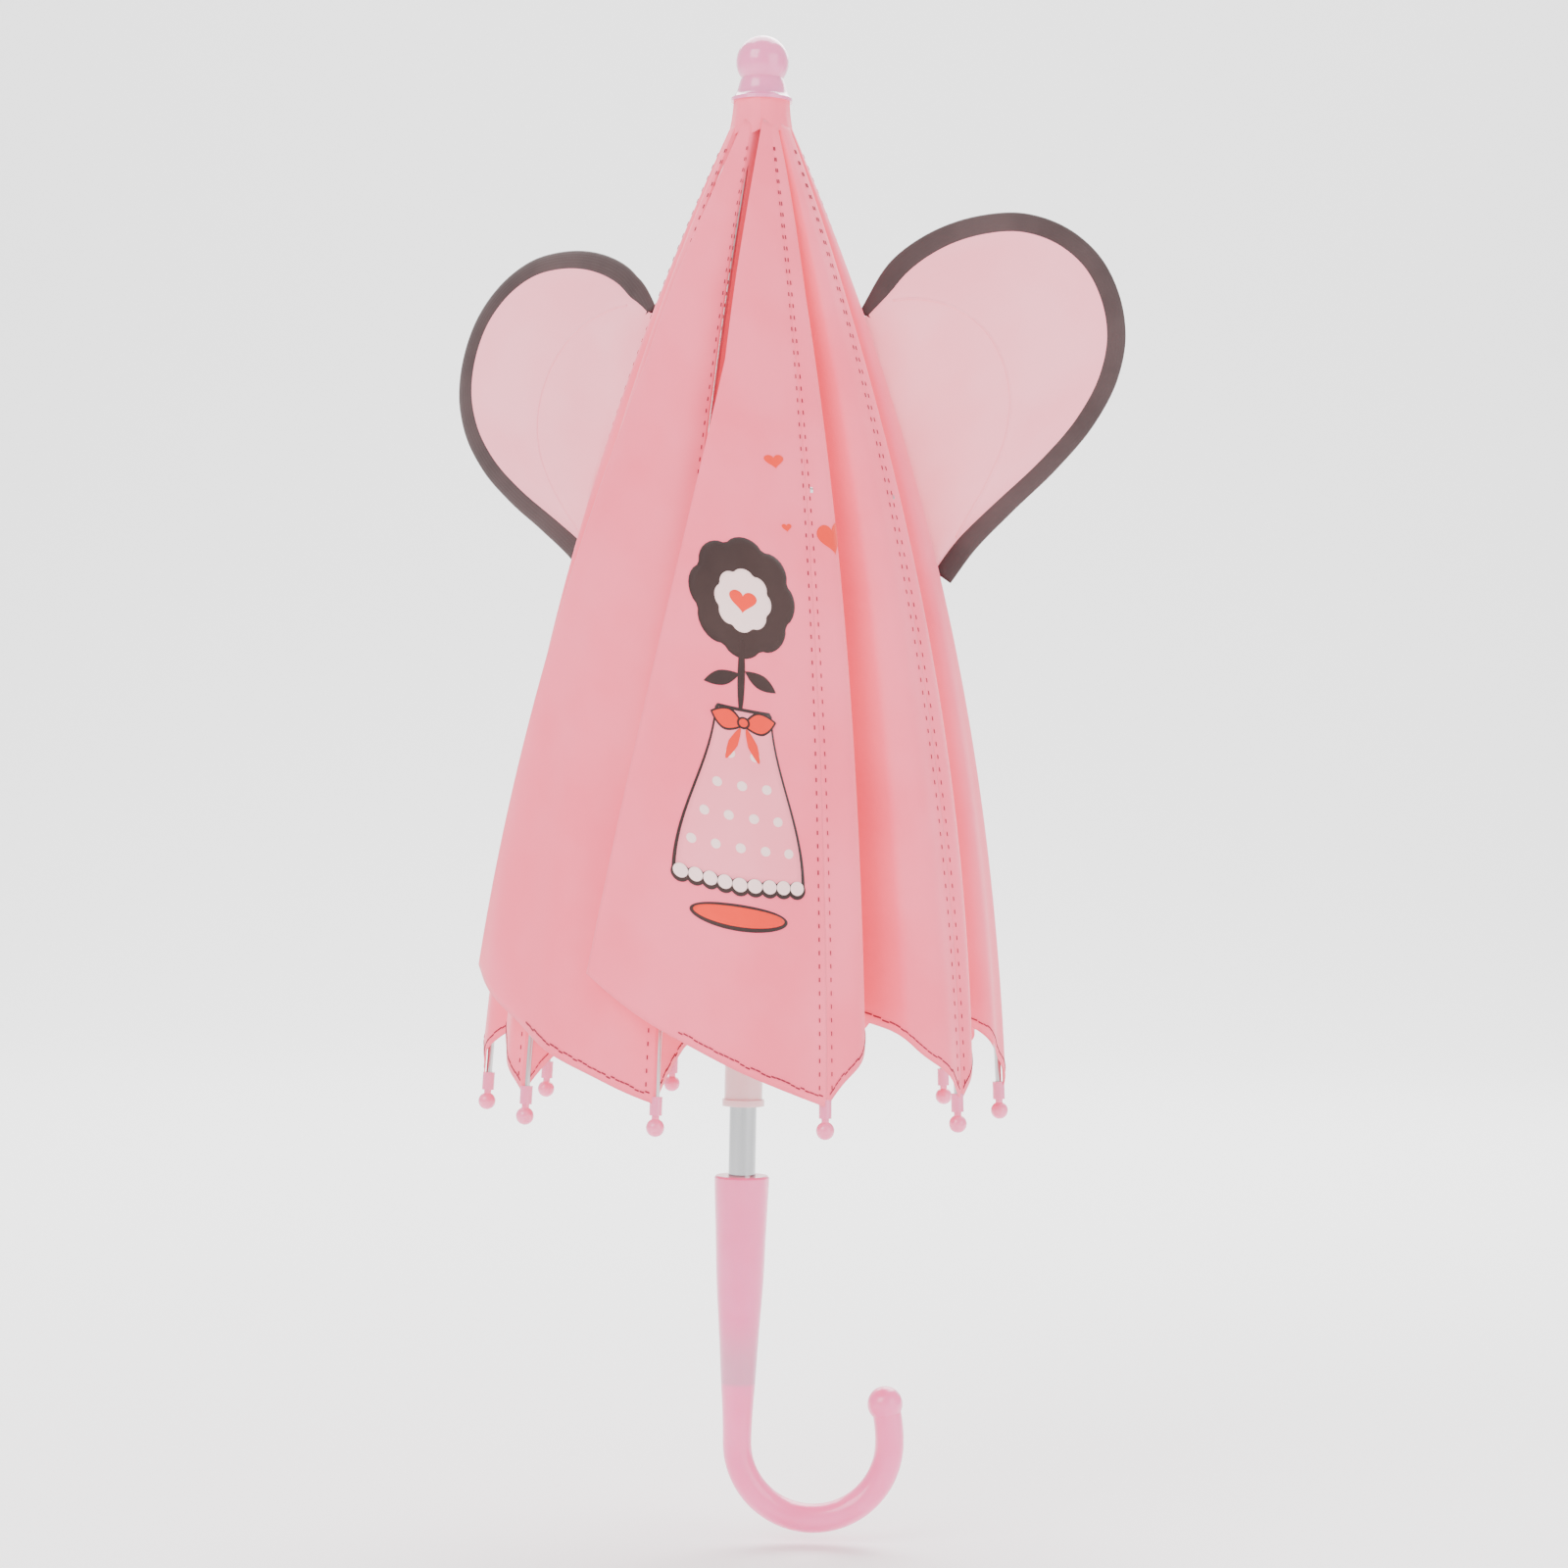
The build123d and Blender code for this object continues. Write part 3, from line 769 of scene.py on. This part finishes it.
class FrontPrint:
    """The print on the front: hearts over a flower in a dotted, frilled pot with a bow."""

    def __init__(self, front: HalfPanel, beside: HalfPanel) -> None:
        """Keep the two halves that it is printed on."""
        self.front, self.beside = front, beside

    @staticmethod
    def motifs() -> list[Motif]:
        """Every shape of the print, from the lowest layer up."""
        dark, red, cream, pink = Finish.INK_DARK, Finish.INK_RED, Finish.INK_CREAM, Finish.INK_PINK
        shapes = [
            Motif("heart_small", red, 7.0, 256.0, "heart", 7.0, 5.4, turn=14),
            Motif("heart_tiny", red, 12.0, 233.0, "heart", 3.6, 3.2, turn=10),
            Motif("stem", dark, -2.5, 178.0, "disc", 2.4, 26.0, 1),
            Motif("leaf_left", dark, -9.0, 176.0, "leaf", 13.0, 5.0, 1, 24),
            Motif("leaf_right", dark, 4.0, 177.0, "leaf", 12.0, 5.0, 1, -28),
            Motif("bloom", dark, -2.5, 205.0, "flower", 36.0, 42.0, 1),
            Motif("bloom_face", cream, -2.5, 204.0, "flower", 19.0, 22.0, 2),
            Motif("bloom_heart", red, -2.5, 204.0, "heart", 9.0, 8.5, 3),
            Motif("saucer", dark, -1.5, 96.0, "disc", 33.0, 9.0, 1),
            Motif("saucer_fill", red, -1.5, 96.3, "disc", 30.6, 6.6, 2),
            Motif("pot_line", dark, -1.5, 137.0, "bell", 45.0, 60.0, 1),
            Motif("pot", pink, -1.5, 137.2, "bell", 42.4, 57.2, 2),
        ]
        for n in range(9):
            x = -1.5 + (n - 4) * 4.9
            z = 107.5 - 0.10 * (4 - abs(n - 4)) ** 1.5
            shapes.append(Motif(f"frill_line_{n}", dark, x, z - 0.3, "disc", 6.2, 6.2, 3))
            shapes.append(Motif(f"frill_{n}", cream, x, z + 0.4, "disc", 4.8, 4.8, 4))
        for row in range(4):
            for n in range(row + 2):
                x = -1.5 + (n - (row + 1) / 2) * 8.2
                shapes.append(Motif(f"dot_{row}_{n}", cream, x, 151.0 - row * 10.5, "disc", 3.3, 3.3, 3))
        for side, label in ((-1, "left"), (1, "right")):
            loop, tail = -1.5 + side * 5.4, -1.5 + side * 3.2
            shapes.append(Motif(f"bow_line_{label}", dark, loop, 162.5, "leaf", 11.6, 8.0, 3, side * 14))
            shapes.append(Motif(f"bow_{label}", red, loop, 162.5, "leaf", 10.0, 6.4, 4, side * 14))
            shapes.append(Motif(f"ribbon_{label}", red, tail, 154.5, "leaf", 3.2, 12.0, 4, side * 22))
        shapes.append(Motif("bow_knot", dark, -1.5, 162.0, "disc", 4.2, 4.2, 5))
        shapes.append(Motif("bow_knot_fill", red, -1.5, 162.0, "disc", 2.8, 2.8, 6))
        return shapes

    @staticmethod
    def to_cloth(half: HalfPanel, x: Array, z: Array) -> tuple[Array, Array]:
        """Length and share on a half from a place across (x) and up (z): the azimuth whose sine is x over
        the cloth's radius, then the share whose fold angle that is."""
        s = half.bow.length_at(z)
        radius = half.bow.at(s)[..., 0] * 1.07
        away = (np.arcsin(np.clip(x / radius, -1, 1)) - half.azimuth) * half.side
        if half.wide:
            edge = half.edge(s)
            return s, away / np.arctan2(edge[..., 1] * half.side, edge[..., 0])
        knots, degrees, _ = half.section()
        shares = np.linspace(0, 0.36, 400)
        return s, np.interp(np.degrees(away), smooth_path(shares, knots, degrees), shares)

    def build_one(self, shape: Motif, half: HalfPanel, wear: Wardrobe) -> bpy.types.Object:
        """One shape: rings that shrink from its outline to its centre, laid on the cloth."""
        rings, around = 9, 72
        turns = np.linspace(0, 2 * math.pi, around, endpoint=False)
        share, angle = np.meshgrid(np.linspace(1, 0.04, rings), turns, indexing="ij")
        flat = shape.outline(angle) * share[..., None]
        x, z = (shape.x + flat[..., 0]) * MM, (shape.z + flat[..., 1]) * MM
        s, t = self.to_cloth(half, x, z)
        points, weights = half.place(s, t, lift=(0.22 + 0.07 * shape.layer) * MM)
        cap = tuple(range(rings * around - 1, (rings - 1) * around - 1, -1))
        faces = grid_faces(rings, around, wrap=True)
        piece = new_piece(f"print_{shape.name}", points, faces, wear[shape.finish], extra=(cap,))
        thicken(piece, INK_WALL)
        half.attach(piece, weights, half.places(s, t))
        return piece

    def build(self, wear: Wardrobe) -> None:
        """Lay every shape on the front half, and the large heart on the half beside it."""
        for shape in self.motifs():
            self.build_one(shape, self.front, wear)
        large = Motif("heart_large", Finish.INK_RED, 29.5, 231.0, "heart", 11.5, 12.5, turn=12)
        self.build_one(large, self.beside, wear)
        log.info("front print")


@dataclass
class Canopy:
    """Ten panels, each folded in two halves; every fold laps the same way round."""

    folds: tuple[float, ...] = (14.5, 15.0, 14.2, 15.4, 14.6, 15.4, 15.0, 15.4, 42.0, 41.0)

    def halves(self) -> list[HalfPanel]:
        """Both halves of each panel; panel n lies between rib n and the next."""
        count = len(self.folds)
        found = []
        for n, fold in enumerate(self.folds):
            found.append(HalfPanel(n + 1, 1, fold))
            found.append(HalfPanel((n + 1) % count + 1, -1, fold))
        return found

    def crown(self, wear: Wardrobe) -> None:
        """The gathered collar under the cap, fixed to the shaft: a flared ring with a pleat at each rib."""
        turn, down = np.meshgrid(np.linspace(0, 2 * math.pi, 240, endpoint=False), np.linspace(0, 1, 24),
                                 indexing="xy")
        pleat = np.cos(10 * (turn - math.radians(18.0)))
        radius = (10.1 + 1.9 * down**2) * MM + 0.32 * MM * pleat * (0.35 + 0.65 * down)
        height = (394.9 - 13.5 * down) * MM - 0.8 * MM * pleat * down
        grid = np.stack([radius * np.sin(turn), -radius * np.cos(turn), height], -1)
        place = np.stack([turn.ravel() * 0.011, down.ravel() * 0.0135, np.zeros(turn.size)], -1)
        piece = new_piece("canopy_crown", grid, grid_faces(24, 240, wrap=True), wear[Finish.CANOPY])
        attribute = piece.data.attributes.new("cloth_place", "FLOAT_VECTOR", "POINT")
        attribute.data.foreach_set("vector", np.ascontiguousarray(place, np.float32).ravel())
        thicken(piece, CLOTH_WALL)
        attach(piece, "root")

    def build(self, wear: Wardrobe) -> None:
        """Build the cloth, its stitching, the crown collar and the print."""
        self.crown(wear)
        halves = {h.tag: h for h in self.halves()}
        for half in halves.values():
            half.build(wear)
            half.stitches(wear)
        FrontPrint(halves["01_left"], halves["01_right"]).build(wear)


# ---------------------------------------------------------------- ears


@dataclass
class Ear:
    """A heart-lobe ear: a thin sheet between the side seam and a bound outline.

    The sheet is ruled from the seam line to the outline, with a shallow belly that is a product of
    two half sines. The binding is a flat oval carried along the outline.
    """

    side: int
    rib: int
    droop: float = 0.0
    turn: float = 0.0
    binding: float = 7.6 * MM
    belly: float = 3.0 * MM

    def outline(self, q: Array) -> Array:
        """The outer edge, in the XZ plane, from the seam's top round to its foot."""
        points = MM * np.array(((40.5, 316), (52, 335), (66, 345), (82, 350.5), (97, 351.5), (111, 347),
                                (122, 338), (129, 325), (131.5, 310), (129, 296), (121, 280), (108, 264),
                                (92, 248), (78, 233), (69.5, 221)))
        steps = np.linalg.norm(np.diff(points, axis=0), axis=1)
        knots = np.concatenate([[0], np.cumsum(steps)]) / steps.sum()
        x = smooth_path(q, knots, points[:, 0])
        z = smooth_path(q, knots, points[:, 1])
        return np.stack([x, np.zeros_like(x), z], -1)

    def seam(self, q: Array) -> Array:
        """The edge sewn in along the rib's seam, which bows with the rib."""
        bow = RibBow()
        top, foot = bow.length_at(np.array(0.316)), bow.length_at(np.array(0.222))
        rib = bow.at(top + (foot - top) * q)
        return np.stack([rib[..., 0] + 1.6 * MM, np.zeros_like(q), rib[..., 1]], -1)

    def turned(self, points: Array) -> Array:
        """Mirror, droop about the seam's top and turn about the seam line."""
        if self.side > 0:
            return points
        shape = points.shape
        flat = points.reshape(-1, 3) * np.array([-1, 1, 1])
        top = self.seam(np.array(0.0)) * np.array([-1, 1, 1])
        foot = self.seam(np.array(1.0)) * np.array([-1, 1, 1])
        droop = np.array(Matrix.Rotation(-self.droop, 3, "Y"))
        swing = np.array(Matrix.Rotation(self.turn, 3, Vector(foot - top)))
        seam_way = (foot - top) / np.linalg.norm(foot - top)
        from_seam = np.linalg.norm(np.cross(flat - top, seam_way), axis=-1)
        away = np.clip(from_seam / (12 * MM), 0, 1)[:, None]
        drooped = (flat - top) @ droop.T
        return (((flat - top) * (1 - away) + drooped * away) @ swing.T + top).reshape(shape)

    def surface(self, q: Array, r: Array) -> Array:
        """The sheet at q along the edge and r from the seam, 0, to the outline, 1."""
        base = self.seam(q) * (1 - r[..., None]) + self.outline(q) * r[..., None]
        ripple = np.sin(math.pi * q) * np.sin(math.pi * r) * self.belly
        ripple = ripple + 0.8 * MM * np.sin(9 * q + 4 * r) * np.sin(math.pi * r)
        base[..., 1] -= ripple
        return base

    def hold(self, piece: bpy.types.Object, place: Array) -> None:
        """Ride on the rib whose seam holds the ear."""
        attribute = piece.data.attributes.new("cloth_place", "FLOAT_VECTOR", "POINT")
        attribute.data.foreach_set("vector", np.ascontiguousarray(place, np.float32).ravel())
        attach(piece, f"rib_{self.rib:02d}")

    def build(self, wear: Wardrobe) -> None:
        """Build the sheet, its binding and the raised inner seam."""
        label = "right" if self.side > 0 else "left"
        q, r = np.meshgrid(np.linspace(0, 1, 90), np.linspace(0, 1, 50), indexing="ij")
        grid = self.turned(self.surface(q, r))
        sheet = new_piece(f"ear_cloth_{label}", grid, grid_faces(90, 50), wear[Finish.EAR])
        thicken(sheet, CLOTH_WALL)
        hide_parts(f"ear_{label}")
        self.hold(sheet, np.stack([q.ravel() * 0.2, r.ravel() * 0.1, np.zeros(q.size)], -1))
        width, length, area = self.cut()
        edge = self.tube(np.linspace(0, 1, 160), 1.0, self.binding / 2, 1.1 * MM, 20)
        self.hold_tube(edge, f"ear_binding_{label}", wear[Finish.BINDING])
        inner = self.tube(np.linspace(0.12, 0.90, 120), 0.50, 0.55 * MM, 0.45 * MM, 10)
        self.hold_tube(inner, f"ear_seam_{label}", wear[Finish.EAR])

    def cut(self) -> tuple[float, float, float]:
        """Width, length and area of the flat ear: what its outline and seam enclose, by the shoelace sum."""
        q = np.linspace(0, 1, 200)
        ring = np.concatenate([self.outline(q), self.seam(q)[::-1]])[:, [0, 2]]
        x, z = ring.T
        area = abs(np.dot(x, np.roll(z, -1)) - np.dot(z, np.roll(x, -1))) / 2
        return float(np.ptp(x)), float(np.ptp(z)), float(area)

    def tube(self, q: Array, r: float, wide: float, thick: float, around: int) -> Array:
        """An oval, wide across in the sheet and thick through it, carried along a line of the sheet."""
        line = self.surface(q, np.full_like(q, r))
        tangent = np.gradient(line, axis=0)
        tangent /= np.linalg.norm(tangent, axis=1, keepdims=True)
        across = np.cross(tangent, np.array([0, 1.0, 0]))
        across /= np.linalg.norm(across, axis=1, keepdims=True)
        a = np.linspace(0, 2 * math.pi, around, endpoint=False)
        oval = (np.cos(a)[None, :, None] * wide * across[:, None, :]
                + np.sin(a)[None, :, None] * thick * np.array([0, 1.0, 0]))
        return self.turned(line[:, None, :] + oval)

    def hold_tube(self, grid: Array, name: str, material: bpy.types.Material) -> None:
        """Close a tube's ends, make it a piece and hold it on the rib."""
        rows, around = grid.shape[:2]
        caps = (tuple(range(around)), tuple(range(rows * around - 1, (rows - 1) * around - 1, -1)))
        faces = grid_faces(rows, around, wrap=True)
        piece = new_piece(name, grid, faces, material, extra=caps)
        a, b = np.meshgrid(np.linspace(0, 0.3, rows), np.linspace(0, 0.012, around), indexing="ij")
        self.hold(piece, np.stack([a.ravel(), b.ravel(), np.zeros(a.size)], -1))
        log.info("%s", name)


# ---------------------------------------------------------------- studio


@dataclass
class Studio:
    """Pale sweep, soft lights and the camera."""

    distance: float = 1.296
    height: float = 0.144
    sideways: float = 0.0128
    lens: float = 81.0
    roll: float = math.radians(1.06)

    def sweep(self) -> None:
        """Floor and back wall as one surface: flat, a quarter round, then upright."""
        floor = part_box("crook_handle")[0][2] - 0.004
        bend = np.linspace(0.1, math.pi / 2, 16)
        depth = np.concatenate([np.linspace(-2.5, 2.2, 12), 2.2 + 0.9 * np.sin(bend), np.full(4, 3.1)])
        rise = np.concatenate([np.zeros(12), 0.9 * (1 - np.cos(bend)), np.linspace(1.2, 3.5, 4)])
        x = np.linspace(-4, 4, 9)
        grid = np.stack(np.broadcast_arrays(x[None, :], depth[:, None], rise[:, None] + floor), -1)
        material, _, shader = start_material("studio_paper")
        shader.inputs["Base Color"].default_value = (0.98, 0.98, 0.98, 1)
        shader.inputs["Roughness"].default_value = 0.9
        new_piece("studio_sweep", grid, grid_faces(len(depth), len(x)), material)

    def light(self, name: str, place: tuple[float, float, float], size: float, power: float) -> None:
        """A square soft light that faces the umbrella's middle."""
        lamp = bpy.data.lights.new(name, "AREA")
        lamp.size = size
        lamp.energy = power
        holder = bpy.data.objects.new(name, lamp)
        holder.location = place
        aim = Vector((0, 0, self.height)) - Vector(place)
        holder.rotation_euler = aim.to_track_quat("-Z", "Y").to_euler()
        bpy.context.scene.collection.objects.link(holder)

    def build(self) -> None:
        """Place the sweep, the lights, the world and the camera."""
        self.sweep()
        self.light("key", (-1.4, -1.8, 1.6), 1.6, 52.0)
        self.light("fill", (1.8, -1.5, 0.7), 1.8, 26.0)
        self.light("back", (0.6, 1.6, 1.5), 1.4, 24.0)
        self.light("wall", (0.0, 1.6, 2.6), 3.0, 190.0)
        world = bpy.data.worlds.new("studio")
        bpy.context.scene.world = world
        world.use_nodes = True
        world.node_tree.nodes["Background"].inputs[0].default_value = (1, 1, 1, 1)
        world.node_tree.nodes["Background"].inputs[1].default_value = 1.15
        camera = bpy.data.objects.new("camera", bpy.data.cameras.new("camera"))
        camera.data.lens = self.lens
        bpy.context.scene.collection.objects.link(camera)
        turn = Matrix.Rotation(math.pi / 2, 4, "X") @ Matrix.Rotation(self.roll, 4, "Z")
        camera.matrix_world = Matrix.Translation((self.sideways, -self.distance, self.height)) @ turn
        bpy.context.scene.camera = camera


def main() -> None:
    """Build the umbrella's visible pieces in order."""
    logging.basicConfig(level=logging.INFO)
    Studio().build()
    wear = Wardrobe()
    wear.dress_all()
    Canopy().build(wear)
    Ear(side=1, rib=3).build(wear)
    Ear(side=-1, rib=8, droop=math.radians(9.0), turn=math.radians(40.0)).build(wear)


if __name__ == "__main__":
    main()
